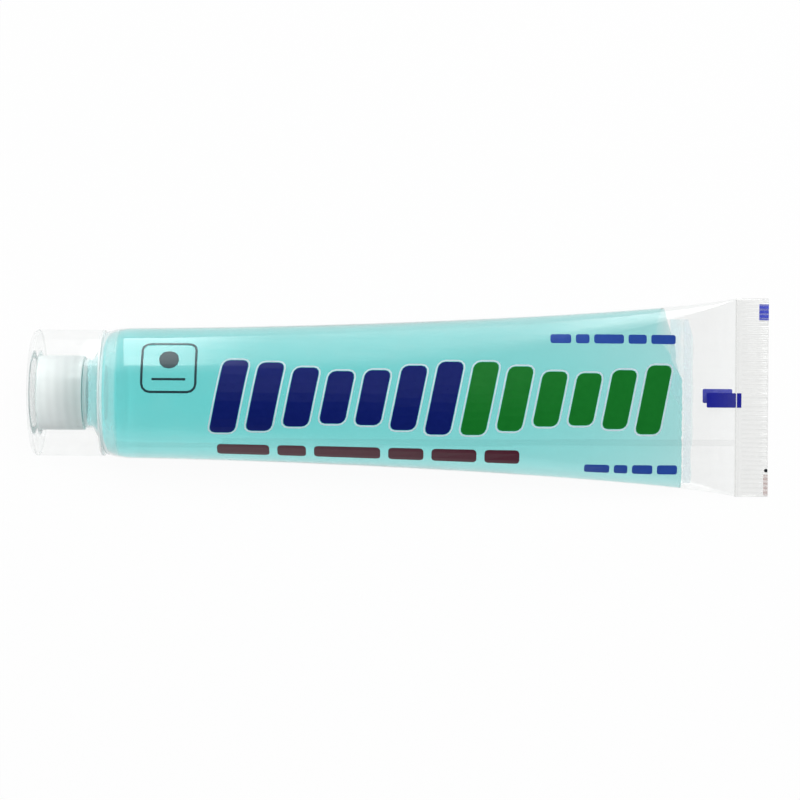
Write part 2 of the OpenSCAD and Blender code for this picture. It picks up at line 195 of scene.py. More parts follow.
def softened(outline, radius):
    """The outline with every corner rounded off, as a mould leaves it."""
    rounded = [outline[0]]
    for before, here, after in zip(outline, outline[1:], outline[2:]):
        here = Vector(here)
        back, ahead = Vector(before) - here, Vector(after) - here
        if back.angle(ahead) > 2.9:
            rounded.append(tuple(here))
            continue
        cut = min(radius, back.length * 0.45, ahead.length * 0.45)
        a, b = here + back.normalized() * cut, here + ahead.normalized() * cut
        for t in (0.0, 0.33, 0.67, 1.0):
            p = a * (1 - t) ** 2 + here * 2 * t * (1 - t) + b * t ** 2
            rounded.append((p.x, p.y))
    return rounded + [outline[-1]]


def turned(outline, ridge=None, steps=144):
    """Points and faces of an outline of (x, radius) turned about the tube's axis."""
    points, rows, faces = [], [], []
    for x, r in outline:
        first = len(points)
        if r == 0:
            points.append((x, 0.0, AXIS_Z))
            rows.append([first] * steps)
            continue
        for i in range(steps):
            a = 2 * math.pi * i / steps
            out = r + (ridge(x, i / steps) if ridge else 0.0)
            points.append((x, out * math.cos(a), AXIS_Z + out * math.sin(a)))
        rows.append(list(range(first, first + steps)))
    for row, after in zip(rows, rows[1:]):
        for i in range(steps):
            j = (i + 1) % steps
            face = list(dict.fromkeys((row[i], row[j], after[j], after[i])))
            if len(face) > 2:
                faces.append(face)
    return points, faces


def thread_rise(x, turn, start_x, rise):
    """How far a right-handed thread stands proud at x, a share of a turn on from +Y towards +Z."""
    turns_on = turn + round((x - start_x) / THREAD_PITCH - turn)
    off = abs(x - start_x - THREAD_PITCH * turns_on)
    ends = max(0.0, min(1.0, turns_on / 0.2, (THREAD_TURNS - turns_on) / 0.2))
    return rise * ends * max(0.0, min(1.0, (0.48 - off) / 0.31))


def threaded_rows(r):
    """Outline points close enough together along the thread for its ridge to show."""
    count = round((THREAD_TO_X - THREAD_FROM_X) / 0.1)
    return [(THREAD_FROM_X + 0.1 * i, r) for i in range(count + 1)]


def neck_ridge(x, turn):
    """The neck's thread, which stands out from it."""
    return thread_rise(x, turn, THREAD_START_X, NECK_THREAD_RISE)


def moulded_finish(name, milk_at, clear_tint, body_colour, gloss):
    """Natural plastic: mostly clear, with a milky share, a soft gloss and faint flow marks."""
    finish, start = new_finish(name)
    place = spot(start)
    flow_marks = grain(start, place, 260.0)
    fine = grain(start, place, 2200.0, 2.0)
    along = start.node("ShaderNodeSeparateXYZ", {0: place}, out="X")
    across = start.node("ShaderNodeSeparateXYZ", {0: place}, out="Y")
    up = start.node("ShaderNodeSeparateXYZ", {0: place}, out="Z") - AXIS_Z * MM
    from_axis = (across * across + up * up) ** 0.5
    turn = start.node("ShaderNodeMath", {0: up, 1: across}, operation="ARCTAN2") * (0.5 / math.pi)
    winding = ((along - THREAD_START_X * MM) * (1 / THREAD_PITCH / MM) - turn) * (2 * math.pi)
    crest = start.node("ShaderNodeMath", {0: winding}, operation="COSINE") * 0.5 + 0.5
    milk = milk_at(start, along, from_axis, crest) + (flow_marks - 0.5) * 0.05
    surface_wave = bump(start, fine * 0.35 + flow_marks, 0.12, 0.00006)
    colour = blend(start, flow_marks, (*[c * 0.95 for c in body_colour], 1.0), (*body_colour, 1.0))
    clear = start.node("ShaderNodeBsdfTransparent", {"Color": (*clear_tint, 1.0)})
    milky = start.node("ShaderNodeBsdfPrincipled", {
        "Base Color": colour, "Roughness": (fine * 0.12 + 0.5), "IOR": 1.3, "Normal": surface_wave})
    mirror = start.node("ShaderNodeBsdfAnisotropic", {
        "Color": (1.0, 1.0, 1.0, 1.0), "Roughness": gloss, "Normal": surface_wave})
    inside = start.node("ShaderNodeMixShader", {0: wall_haze(start, milk), 1: clear, 2: milky})
    finished(start, start.node("ShaderNodeMixShader", {
        0: sheen_share(start, 0.035, 0.2), 1: inside, 2: mirror}))
    return finish


def head_milk(start, along, from_axis, crest):
    """The neck is thin, the collar and shoulder are thick, and the shoulder's edge is stressed white.
    The gel shades the underside from the lamp, so its haze is drawn weaker there."""
    neck = 1.0 - band(start, along, (LAND_X - 0.2) * MM, (LAND_X + 0.1) * MM)
    cone = band(start, along, CONE_X * MM, EDGE_X * MM)
    edge = band(start, along, -64.5 * MM, -64.25 * MM) * (1.0 - band(start, along, -63.9 * MM, -63.65 * MM))
    collar_start = (1.0 - neck) * (1.0 - band(start, along, -67.8 * MM, -67.5 * MM))
    spigot_end = band(start, along, -61.4 * MM, (SPIGOT_END_X - 0.05) * MM)
    up = start.node("ShaderNodeSeparateXYZ", {0: spot(start)}, out="Z")
    underside = (1.0 - neck) * (1.0 - band(start, up, AXIS_Z * MM, (AXIS_Z + 4.0) * MM))
    return (cone * 0.03 - neck * 0.1 + neck * crest * 0.08 + collar_start * 0.18 + edge * 0.45 + 0.2) \
        * (1.0 - spigot_end) * (1.0 - underside * 0.9)


head_outline = [
    (LIP_X, NECK_IN_R - 0.2), (LIP_X, MOUTH_R), (MOUTH_X, MOUTH_R), (MOUTH_X, NECK_R - 0.3),
    (MOUTH_X + 0.3, NECK_R)]
head_outline += threaded_rows(NECK_R)
head_outline += [(LAND_X, NECK_R), (LAND_X, COLLAR_R), (CONE_X, COLLAR_R)]
head_outline += [(FRONT_X - (FRONT_X - EDGE_X) * math.cos(a), CONE_R + (FRONT_R - CONE_R) * math.sin(a))
                 for a in (math.radians(d) for d in range(0, 91, 10))]
head_outline.append((SPIGOT_END_X, SPIGOT_END_R))

head_finish = moulded_finish("head_natural", head_milk, (0.96, 0.98, 0.98), (0.90, 1.0, 1.0), 0.16)
head = piece_from("neck_and_shoulder", *turned(softened(head_outline, 0.18), neck_ridge), [head_finish],
                  "tube", "head_plastic")
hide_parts("head")

# Sleeve. Clear plastic film, rolled into a tube with a lap seam down the back and welded over
# the shoulder's edge. Its tail is pressed flat between ribbed jaws and trimmed straight.

SLEEVE_R = 14.0
GIRTH = 2 * math.pi * SLEEVE_R
TUCK = 0.7
TUCK_LEN = 4.3
BELLY_START = FRONT_X + TUCK_LEN
LEAD_IN = 54.0
LEAD_IN_DROP = 0.33
LEAD_OUT = 16.0
LEAD_OUT_RISE = 7.7
ROUND_SHARE = 0.98
SIDE_ROUND = 0.8
CRIMP_X = 72.7
TAIL_X = 79.6
CRIMP_T = 0.9
RIDGE_LEN = 1.0
RIDGE_RISE = 0.12
RIB_COUNT = 44
RIB_DEPTH = 0.12
EDGE_RIB_LEN = 1.8
EDGE_RIB_DEPTH = 0.22
SEAM_SIDES = (9.3, 10.7)
SEAM_STEP = 0.1
SEAM_RAMP = 0.1


def bezier(t, a, b, c, d):
    """A smooth curve from a to d, pulled towards b and c on its way."""
    return (1 - t) ** 3 * a + 3 * (1 - t) ** 2 * t * b + 3 * (1 - t) * t ** 2 * c + t ** 3 * d


def belly_x(t):
    """How far along the tube the curve of the belly has come at t."""
    return bezier(t, BELLY_START, BELLY_START + LEAD_IN, CRIMP_X - LEAD_OUT, CRIMP_X)


def half_height(x):
    """Half the height of the sleeve, which falls along a smooth curve to the crimp."""
    low, high = 0.0, 1.0
    for _ in range(30):
        t = (low + high) / 2
        low, high = (t, high) if belly_x(t) < x else (low, t)
    return bezier(low, SLEEVE_R, SLEEVE_R - LEAD_IN_DROP, CRIMP_T / 2 + LEAD_OUT_RISE, CRIMP_T / 2)


def oval(w, h, r):
    """A section of four arcs: half width, half height, side radius, crest radius, crest angle."""
    crest = ((w - r) ** 2 + h ** 2 - r ** 2) / (2 * (h - r))
    return w, h, r, crest, math.asin(min(1.0, (w - r) / (crest - r)))


def quarter_length(o):
    """A quarter of the way round a section."""
    return o[3] * o[4] + o[2] * (math.pi / 2 - o[4])


def side_share(x):
    """The sides' radius as a share of the half height, which falls a little towards the crimp."""
    return ROUND_SHARE + (SIDE_ROUND - ROUND_SHARE) * max(0.0, (x - BELLY_START) / (CRIMP_X - BELLY_START))


def section(x, inset=0.0):
    """The sleeve's oval at x, and the height of its middle. The film keeps its girth."""
    if x < BELLY_START:
        r = SLEEVE_R - TUCK * (1 - (x - FRONT_X) / TUCK_LEN) ** 2 - inset
        return oval(r, r, ROUND_SHARE * r), AXIS_Z
    h = half_height(x)
    low, high = h, GIRTH / 4
    for _ in range(30):
        w = (low + high) / 2
        wide = 4 * quarter_length(oval(w, h, side_share(x) * h)) < GIRTH
        low, high = (w, high) if wide else (low, w)
    return oval(low - inset, h - inset, side_share(x) * (h - inset)), h


def on_section(x, o, middle, share, lift=0.0):
    """A point at a share of the girth, from the crest towards +Y and round, lifted off the film."""
    u = share % 1.0
    s = 4 * quarter_length(o) * min(u, 1 - u, abs(0.5 - u))
    crest = o[3] * o[4]
    if s <= crest:
        a = s / o[3]
        y, z = o[3] * math.sin(a), o[1] - o[3] + o[3] * math.cos(a)
    else:
        a = o[4] + (s - crest) / o[2]
        y, z = o[0] - o[2] + o[2] * math.sin(a), o[2] * math.cos(a)
    y, z = y + lift * math.sin(a), z + lift * math.cos(a)
    return x, (-y if u > 0.5 else y), middle + (-z if 0.25 < u < 0.75 else z)


def skin(rings):
    """Faces between rings of equally many points."""
    n = len(rings[0])
    points = [p for ring in rings for p in ring]
    faces = [(k * n + i, k * n + (i + 1) % n, (k + 1) * n + (i + 1) % n, (k + 1) * n + i)
             for k in range(len(rings) - 1) for i in range(n)]
    return points, faces


def crease_dent(x, y):
    """How deep the folds just before the crimp press in the film."""
    depth = 0.0
    for place, lean, middle, reach, deep in (
            (70.3, 0.02, 6.0, 7.0, 0.10), (71.3, -0.015, 13.0, 6.0, 0.14), (70.9, 0.03, -4.0, 8.0, 0.10),
            (71.6, 0.01, -14.0, 6.0, 0.12), (69.2, -0.03, 14.5, 4.0, 0.08), (68.4, 0.04, -12.0, 5.0, 0.07)):
        across = (x - place - lean * (y - middle)) / 0.42
        along = (y - middle) / reach
        depth += deep * math.exp(-across ** 2 - along ** 2)
    return depth


seam_shares = [0.5 + s / GIRTH for s in (SEAM_SIDES[0], SEAM_SIDES[0] + SEAM_RAMP,
                                         SEAM_SIDES[1] - SEAM_RAMP, SEAM_SIDES[1])]
ring_shares = [i / 176 for i in range(176)]
ring_shares = sorted([u for u in ring_shares if not seam_shares[0] - 0.001 < u < seam_shares[3] + 0.001]
                     + seam_shares)
sleeve_rings = []
for x in [FRONT_X + TUCK_LEN * i / 10 for i in range(10)] + [belly_x(i / 130) for i in range(131)]:
    o, middle = section(x)
    ring = []
    for u in ring_shares:
        at_seam = seam_shares[0] < u < seam_shares[3]
        lift = SEAM_STEP * min(1.0, 2 * (middle - CRIMP_T / 2) / SLEEVE_R) if at_seam else 0.0
        side = on_section(x, o, middle, u)[1]
        calm = min(1.0, max(0.0, middle - 0.5))
        ring.append(on_section(x, o, middle, u, lift - crease_dent(x, side) * calm))
    sleeve_rings.append(ring)
sleeve_points, sleeve_faces = skin(sleeve_rings)

# The crimp is a slab whose two faces carry the ribs of the jaws.
crimp_half = section(CRIMP_X)[0][0]
rib_steps = RIB_COUNT * 10
crimp_stations = [(CRIMP_X - 0.25, 0.55), (CRIMP_X - 0.1, 0.9), (CRIMP_X, 1.0), (CRIMP_X + 0.5, 1.0),
                  (CRIMP_X + 0.85, 1.0), (CRIMP_X + RIDGE_LEN, 0.5), (CRIMP_X + RIDGE_LEN + 0.15, 0.0),
                  (CRIMP_X + 3.0, 0.0), (TAIL_X - EDGE_RIB_LEN, 0.0), (TAIL_X - EDGE_RIB_LEN + 0.15, 0.0),
                  (TAIL_X - 0.9, 0.0), (TAIL_X - 0.12, 0.0), (TAIL_X, 0.0)]
first = len(sleeve_points)
rib_noise = random.Random(7)
rib_tilt = [rib_noise.uniform(-0.12, 0.12) for _ in range(RIB_COUNT + 1)]
for x, ridge in crimp_stations:
    deep = EDGE_RIB_DEPTH if x > TAIL_X - EDGE_RIB_LEN + 0.1 else RIB_DEPTH
    trimmed = 0.05 if x == TAIL_X else 0.0
    top, foot = [], []
    for i in range(rib_steps + 1):
        v = i / rib_steps
        y = crimp_half * (2 * v - 1)
        rib = 0.5 - 0.5 * math.cos(2 * math.pi * v * RIB_COUNT)
        shift = rib_tilt[int(v * RIB_COUNT)] * (x - CRIMP_X) / 7 * math.sin(math.pi * (v * RIB_COUNT % 1))
        cut = deep * (1 - rib ** 0.7) * (1 - ridge) + trimmed
        edge = 0.25 * max(0.0, 1 - min(v, 1 - v) * rib_steps / 6) ** 2
        top.append((x, y + shift, CRIMP_T - cut - edge + RIDGE_RISE * ridge))
        foot.append((x, y + shift, (cut + edge) * (1 - ridge)))
    sleeve_points += top + foot[::-1]
row = 2 * (rib_steps + 1)
rows = len(crimp_stations)
for k in range(rows - 1):
    for i in range(row):
        j = (i + 1) % row
        a, b = first + k * row, first + (k + 1) * row
        sleeve_faces.append((a + i, a + j, b + j, b + i))
trim = first + (rows - 1) * row
for i in range(rib_steps):
    sleeve_faces.append((trim + i, trim + i + 1, trim + row - 2 - i, trim + row - 1 - i))


def film_finish(name, milk, tint, crimped=False):
    """Clear glossy film. Its surface waves a little, more so where it is pulled flat for the crimp."""
    finish, start = new_finish(name)
    place = spot(start)
    along = start.node("ShaderNodeSeparateXYZ", {0: place}, out="X")
    up = start.node("ShaderNodeSeparateXYZ", {0: place}, out="Z")
    drawn = start.node("ShaderNodeMapping", {0: place, "Scale": (0.02, 1.0, 1.0)})
    draw_lines = grain(start, drawn, 1300.0, 2.0)
    pulled = start.node("ShaderNodeMapping", {0: place, "Scale": (2.6, 0.4, 1.0)})
    folds = grain(start, pulled, 210.0, 2.0)
    waves = grain(start, place, 60.0, 2.0)
    smears = grain(start, place, 150.0, 4.0)
    tail = band(start, along, 60.0 * MM, 69.0 * MM)
    weld = band(start, along, -62.2 * MM, -61.8 * MM) * (1.0 - band(start, along, -61.4 * MM, -60.9 * MM))
    weld_marks = grain(start, place, 1300.0, 1.0)
    height = waves * 0.9 + draw_lines * 0.03 + folds * tail * 0.8 + weld * weld_marks * 0.7
    wave = bump(start, height, 0.35, 0.0004)
    mirror = start.node("ShaderNodeBsdfAnisotropic", {
        "Color": (1.0, 1.0, 1.0, 1.0), "Roughness": smears * 0.06 + 0.03, "Normal": wave})
    clear = start.node("ShaderNodeBsdfTransparent", {"Color": (*tint, 1.0)})
    haze = band(start, smears, 0.45, 0.9) * 0.03 + milk
    shade = blend(start, smears, (0.90, 0.92, 0.92, 1.0), (0.97, 0.98, 0.97, 1.0))
    if crimped:
        # Painted shade: on the crimp, the ribs' valleys and a thin fold line across the ridge take extra
        # haze in a grey colour.
        valley_shade = 1.0 - band(start, up, (CRIMP_T - 0.2) * MM, (CRIMP_T - 0.02) * MM)
        fold = band(start, along, 72.95 * MM, 73.05 * MM) * (1.0 - band(start, along, 73.1 * MM, 73.2 * MM))
        haze = haze + valley_shade * 0.08 + fold * 0.03
        shade = blend(start, valley_shade + fold, shade, (0.50, 0.51, 0.50, 1.0))
    milky = start.node("ShaderNodeBsdfPrincipled", {
        "Base Color": shade, "Roughness": smears * 0.1 + 0.3, "IOR": 1.3, "Normal": wave})
    inside = start.node("ShaderNodeMixShader", {0: wall_haze(start, haze), 1: clear, 2: milky})
    gloss = sheen_share(start, 0.05) * (draw_lines * 0.9 + 0.55)
    finished(start, start.node("ShaderNodeMixShader", {0: gloss, 1: inside, 2: mirror}))
    return finish


def part_of_sleeve(place):
    """0 for the single film, 1 for the lap seam, 2 for the crimp."""
    if place.x > CRIMP_X - 0.24 and place.z < CRIMP_T + RIDGE_RISE + 0.01:
        return 2
    at_back = place.z < (half_height(place.x) if place.x > BELLY_START else AXIS_Z)
    return 1 if at_back and -SEAM_SIDES[1] < place.y < -SEAM_SIDES[0] else 0


sleeve = piece_from(
    "film_sleeve", sleeve_points, sleeve_faces,
    [film_finish("clear_film", 0.045, (0.985, 0.988, 0.985)),
     film_finish("lap_seam_film", 0.06, (0.92, 0.923, 0.92)),
     film_finish("crimped_film", 0.035, (0.99, 0.992, 0.987), crimped=True)],
    "tube", "clear_film", smooth_below=50.0, finish_of=part_of_sleeve)
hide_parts("sleeve")

# Gel. Clear teal gel fills the neck and the sleeve up to a ragged line before the tail. A thin
# frothy smear of it clings to the film past that line.

FILL_X = 60.2
GEL_INSET = 0.14
GEL_SIDES = 128
END_LEN = 10.0
END_STEPS = 8
MENISCUS_DEPTH = 1.2
gel_noise = random.Random(11)
gel_phases = [gel_noise.uniform(0, 2 * math.pi) for _ in range(6)]


def eased(value, low, high):
    """Rises smoothly from 0 to 1 as value goes from low to high, as band does for a finish."""
    t = max(0.0, min(1.0, (value - low) / (high - low)))
    return t * t * (3 - 2 * t)


def fill_end(side):
    """Where the gel ends, which is further back towards the +Y side."""
    ragged = sum(math.sin(side * k * 1.1 + gel_phases[k % 6]) / k for k in (2, 3, 5, 7, 9))
    return FILL_X - 0.2 - 1.6 * eased(side, 3.5, 8.5) - 2.5 * eased(side, 8.0, 15.0) + 0.1 * ragged


def fill_lean(side):
    """Half the length over which the gel thins out."""
    return 0.12 + 0.8 * eased(side, 3.0, 8.0) + 2.2 * eased(side, 8.0, 15.0)


gel_shares = [i / GEL_SIDES for i in range(GEL_SIDES)]
gel_rings = []
for x, r in ((MOUTH_X + 0.1, MOUTH_R - 0.15), (LIP_X + 0.1, MOUTH_R - 0.15),
             (LIP_X + 0.15, NECK_IN_R - 0.1), ((LIP_X + LAND_X) / 2, NECK_IN_R - 0.1),
             (LAND_X + 0.2, NECK_IN_R - 0.1), (LAND_X + 0.6, COLLAR_R - 0.5), (CONE_X - 0.1, COLLAR_R - 0.4),
             (CONE_X + 0.4, 7.3), (CONE_X + 1.2, 8.7), (EDGE_X - 0.2, 9.9), (EDGE_X + 0.4, 10.75),
             (EDGE_X + 0.65, 11.4), (EDGE_X + 0.95, 12.0), (FRONT_X - 0.3, 12.5), (FRONT_X, 12.8)):
    o = oval(r, r, ROUND_SHARE * r)
    gel_rings.append([on_section(x, o, AXIS_Z, u) for u in gel_shares])
gel_stations = [-62.6, -62.0, -61.4, -60.8, -60.2, -59.6, -59.0] + [belly_x(i / 90) for i in range(1, 91)]
gel_stations = [x for x in gel_stations if x < FILL_X - END_LEN]
for x in gel_stations:
    inset = GEL_INSET + 0.31 * max(0.0, min(1.0, (-58.9 - x) / 4.2))
    o, middle = section(x, inset)
    gel_rings.append([on_section(x, o, middle, u) for u in gel_shares])
last_x = gel_stations[-1]
ends = []
for u in gel_shares:
    side = on_section(last_x, *section(last_x, GEL_INSET), u)[1]
    lower = -1.0 if u < 0.25 or u > 0.75 else 1.0
    ends.append(fill_end(side) + fill_lean(side) * lower * min(1.0, 8 * abs(0.25 - u % 0.5)))
for step in range(1, END_STEPS + 1):
    gel_rings.append([])
    for u, end in zip(gel_shares, ends):
        x = last_x + (end - last_x) * step / END_STEPS
        gel_rings[-1].append(on_section(x, *section(x, GEL_INSET), u))
gel_points, gel_faces = skin(gel_rings)
gel_faces.append(tuple(range(GEL_SIDES - 1, -1, -1)))

# The gel's end is a hollow meniscus between the two walls of film.
rim = len(gel_points) - GEL_SIDES
quarter = GEL_SIDES // 4
columns = [[rim + 3 * quarter]]
for k in range(1 - quarter, quarter):
    top, foot = rim + k % GEL_SIDES, rim + 2 * quarter - k
    a, b = gel_points[top], gel_points[foot]
    columns.append([top])
    for t in (0.1, 0.3, 0.5, 0.7, 0.9):
        columns[-1].append(len(gel_points))
        gel_points.append((a[0] + (b[0] - a[0]) * t - MENISCUS_DEPTH * t * (1 - t),
                           a[1] + (b[1] - a[1]) * t, a[2] + (b[2] - a[2]) * t))
    columns[-1].append(foot)
columns.append([rim + quarter])
for left, right in zip(columns, columns[1:]):
    if len(left) == 1 or len(right) == 1:
        tip, line = (left[0], right) if len(left) == 1 else (right[0], left)
        gel_faces += [(tip, line[i], line[i + 1]) for i in range(6)]
    else:
        gel_faces += [(left[i], left[i + 1], right[i + 1], right[i]) for i in range(6)]


def gel_finish():
    """Teal gel: it takes out red light in proportion to its depth. It wets the film, whose own sheen
    stands for the outer surface, so the gel itself hardly bends light."""
    finish, start = new_finish("teal_gel")
    place = spot(start)
    swirls = grain(start, place, 90.0, 3.0)
    wave = bump(start, swirls, 0.25, 0.0003)
    along = start.node("ShaderNodeSeparateXYZ", {0: place}, out="X")
    shoulder = 1.0 - band(start, along, EDGE_X * MM, (SPIGOT_END_X + 5.0) * MM)
    tone = blend(start, swirls, (0.64, 0.83, 0.83, 1.0), (0.68, 0.86, 0.86, 1.0))
    tone = blend(start, shoulder, tone, (0.80, 0.96, 0.97, 1.0))
    gel = start.node("ShaderNodeBsdfPrincipled", {
        "Base Color": tone, "Roughness": swirls * 0.05 + 0.03, "IOR": 1.05, "Transmission Weight": 1.0,
        "Normal": wave})
    depth = start.node("ShaderNodeVolumeAbsorption", {"Color": (0.25, 0.925, 0.921, 1.0), "Density": 76.2})
    finished(start, gel, depth)
    return finish


gel = piece_from("gel_fill", gel_points, gel_faces, [gel_finish()], "tube", "gel", smooth_below=60.0)
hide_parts("gel")


def smear_finish():
    """A thin film of gel, frothy up to its front edge, where it ends in a fine teal line."""
    finish, start = new_finish("gel_smear")
    place = spot(start)
    along = start.node("ShaderNodeSeparateXYZ", {0: place}, out="X")
    cloud = grain(start, place, 380.0, 3.0)
    thick = 1.0 - band(start, along + cloud * 0.002, 59.0 * MM, 62.2 * MM)
    cells = start.node("ShaderNodeTexVoronoi", {"Vector": place, "Scale": 2300.0}, out="Distance")
    froth = band(start, along, 60.0 * MM, 60.5 * MM) * (1.0 - band(start, along, 61.8 * MM, 62.0 * MM))
    strewn = froth * band(start, cells, 0.15, 0.55)
    front = band(start, along, 61.8 * MM, 62.0 * MM) * (1.0 - band(start, along, 62.15 * MM, 62.4 * MM))
    shade = blend(start, cloud, (0.80, 0.88, 1.0, 1.0), (0.96, 0.98, 1.0, 1.0))
    clear = start.node("ShaderNodeBsdfTransparent", {"Color": (0.99, 0.998, 0.998, 1.0)})
    teal = start.node("ShaderNodeBsdfTransparent", {"Color": (0.60, 0.90, 0.92, 1.0)})
    wet = start.node("ShaderNodeMixShader", {0: thick * 0.5 + froth * 0.3 + front * 0.25, 1: clear, 2: teal})
    milky = start.node("ShaderNodeBsdfPrincipled", {"Base Color": shade, "Roughness": cloud * 0.2 + 0.15})
    milk = thick * cloud * 0.3 + strewn * 0.45 + 0.04
    finished(start, start.node("ShaderNodeMixShader", {0: milk, 1: wet, 2: milky}))
    return finish


SMEAR_FROM = -19.0
SMEAR_LINES = 37
SMEAR_POINTS = 13
smear_rows = []
for i in range(SMEAR_LINES):
    share = (SMEAR_FROM + i) / GIRTH
    reach = 62.4 + 0.2 * math.sin(i * 0.7) - 1.2 * max(0.0, (i - 31) / 5) ** 2 - 0.4 * eased(-i, -12, -4)
    start_x = 57.2 + 3.0 * eased(-share * GIRTH, -2.0, 4.0)
    smear_rows.append([on_section(x, *section(x, 0.12), share)
                       for x in (start_x + (reach - start_x) * k / (SMEAR_POINTS - 1)
                                 for k in range(SMEAR_POINTS))])
smear_points = [p for line in smear_rows for p in line]
smear_starts = [i * SMEAR_POINTS + k for i in range(SMEAR_LINES - 1) for k in range(SMEAR_POINTS - 1)]
smear_faces = [(a, a + 1, a + 1 + SMEAR_POINTS, a + SMEAR_POINTS) for a in smear_starts]
smear = piece_from("gel_smear", smear_points, smear_faces, [smear_finish()], "tube", "gel")

# Print. Screen-printed inks on the front of the sleeve and a few register marks by the tail.
# Each ink is one thin glossy film, a little uneven in its cover.


def ink_finish(name, colour, cover=1.0, stripes=0.0):
    """Printed ink, a little mottled. On the crimp's ribs it takes in stripes."""
    finish, start = new_finish(name)
    place = spot(start)
    mottle = grain(start, place, 700.0, 4.0)
    cells = grain(start, place, 5200.0, 2.0)
    deep = tuple(c * 0.86 for c in colour)
    light = tuple(min(1.0, c * 1.12 + 0.004) for c in colour)
    shade = blend(start, mottle, (*deep, 1.0), (*light, 1.0))
    relief = bump(start, cells * 0.4 + mottle, 0.15, 0.00005)
    solid = cells * 0.04 + (cover - 0.04)
    if stripes:
        across = start.node("ShaderNodeSeparateXYZ", {0: place}, out="Y")
        rib = start.node("ShaderNodeMath", {0: across * (2 * math.pi * RIB_COUNT / (2 * crimp_half * MM))},
                         operation="COSINE")
        solid = solid + rib * stripes - stripes
    ink = start.node("ShaderNodeBsdfPrincipled", {
        "Base Color": shade, "Roughness": cells * 0.12 + 0.24, "IOR": 1.4, "Coat Weight": 0.12,
        "Coat Roughness": 0.08, "Alpha": solid, "Normal": relief})
    finished(start, ink)
    return finish


for node, colour, cover, stripes in (
        ("keyline", (0.62, 0.74, 0.80), 0.9, 0.0),
        ("navy_bars", (0.001, 0.008, 0.125), 1.0, 0.0),
        ("green_bars", (0.004, 0.160, 0.016), 1.0, 0.0),
        ("maroon_dashes", (0.075, 0.012, 0.025), 1.0, 0.0),
        ("blue_dashes", (0.018, 0.065, 0.33), 1.0, 0.0),
        ("badge", (0.014, 0.040, 0.050), 0.95, 0.0),
        ("front_eye_mark", (0.002, 0.006, 0.28), 1.0, 0.0),
        ("back_eye_mark", (0.002, 0.012, 0.42), 1.0, 0.0),
        ("crimp_blue_mark", (0.060, 0.080, 0.58), 1.0, 0.22),
        ("crimp_pink_mark", (0.62, 0.48, 0.46), 0.55, 0.15)):
    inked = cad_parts[node]
    inked.data.materials.clear()
    inked.data.materials.append(ink_finish(node + "_ink", colour, cover, stripes))

# A small, not quite round dot is printed by the trimmed end.
DOT_R = 0.4
DOT_T = 0.06
DOT_SIDES = 24
dot_x = TAIL_X - 0.42
dot_y = 5.8 - crimp_half
dot_z = CRIMP_T + 0.05
dot_turns = [2 * math.pi * i / DOT_SIDES for i in range(DOT_SIDES)]
dot_points = [(dot_x, dot_y, dot_z + DOT_T)]
dot_points += [(dot_x + DOT_R * math.cos(a) * (1 - 0.1 * math.cos(3 * a)), dot_y + DOT_R * math.sin(a), z)
               for z in (dot_z + DOT_T, dot_z) for a in dot_turns]
dot_faces = []
for i in range(DOT_SIDES):
    a, b = 1 + i, 1 + (i + 1) % DOT_SIDES
    dot_faces += [(0, a, b), (a, a + DOT_SIDES, b + DOT_SIDES, b)]
dot_faces.append(tuple(range(2 * DOT_SIDES, DOT_SIDES, -1)))
dot = piece_from("trim_dot", dot_points, dot_faces, [ink_finish("dark_dot_ink", (0.012, 0.015, 0.02))],
                 "tube", "dark_ink")

# Cap. A screw cap moulded in natural polypropylene: a smooth skirt, a flat end disc and a
# threaded inner ring that grips the neck. It comes off towards -X.

CAP_X = -79.6
CAP_R = 13.5
CAP_EDGE = 1.1
CAP_DISC_T = 1.35
SKIRT_IN_R = 12.65
RIM_BACK = 0.9
RIM_X = -64.334
RING_IN_R = 6.95
RING_OUT_R = 7.95
RING_END_X = LAND_X - 0.2
CAP_THREAD_RISE = 0.25

cap_outline = [(CAP_X, 0.0), (CAP_X, 9.6), (CAP_X + 0.12, 9.9), (CAP_X + 0.12, 10.6), (CAP_X, 10.9)]
cap_outline += [(CAP_X + CAP_EDGE * (1 - math.cos(a)), CAP_R - CAP_EDGE + CAP_EDGE * math.sin(a))
                for a in (math.radians(d) for d in range(0, 91, 10))]
cap_outline += [(RIM_X, CAP_R), (RIM_X, SKIRT_IN_R), (RIM_X - RIM_BACK, SKIRT_IN_R)]
disc_x = CAP_X + CAP_DISC_T
ring_outline = [(disc_x, SKIRT_IN_R + 0.4), (disc_x, RING_OUT_R + 0.2), (disc_x + 0.2, RING_OUT_R),
                (RING_END_X, RING_OUT_R), (RING_END_X, RING_IN_R)]
ring_outline += threaded_rows(RING_IN_R)[::-1]
ring_outline += [(disc_x, RING_IN_R - 0.2), (disc_x, 0.0)]


def ring_ridge(x, turn):
    """The cap's thread, which stands in from the ring, half a pitch on from the neck's."""
    return -thread_rise(x, turn, THREAD_START_X + THREAD_PITCH / 2, CAP_THREAD_RISE)


def cap_milk(start, along, from_axis, crest):
    """The skirt is thin and nearly clear, and the ring, rim and corner are thicker. The gel shades the
    rim's underside from the lamp, so its haze is drawn weaker there."""
    inside = 1.0 - band(start, from_axis, 0.0074, 0.0077)
    outside = 1.0 - inside - band(start, from_axis, 0.0085, 0.0092)
    thin = band(start, along, -77.0 * MM, -69.0 * MM)
    up = start.node("ShaderNodeSeparateXYZ", {0: spot(start)}, out="Z")
    rim = band(start, along, (RIM_X - 0.5) * MM, (RIM_X - 0.2) * MM)
    rim = rim * (band(start, up, AXIS_Z * MM, (AXIS_Z + 4.0) * MM) * 0.85 + 0.15)
    corner = band(start, along, -78.9 * MM, -78.7 * MM) * (1.0 - band(start, along, -78.5 * MM, -78.3 * MM))
    return (outside * (0.92 - thin * 0.42 + crest * 0.06) + inside * (crest * 0.1 + 0.08)
            + rim * 0.5 + corner * 0.15 + 0.015)


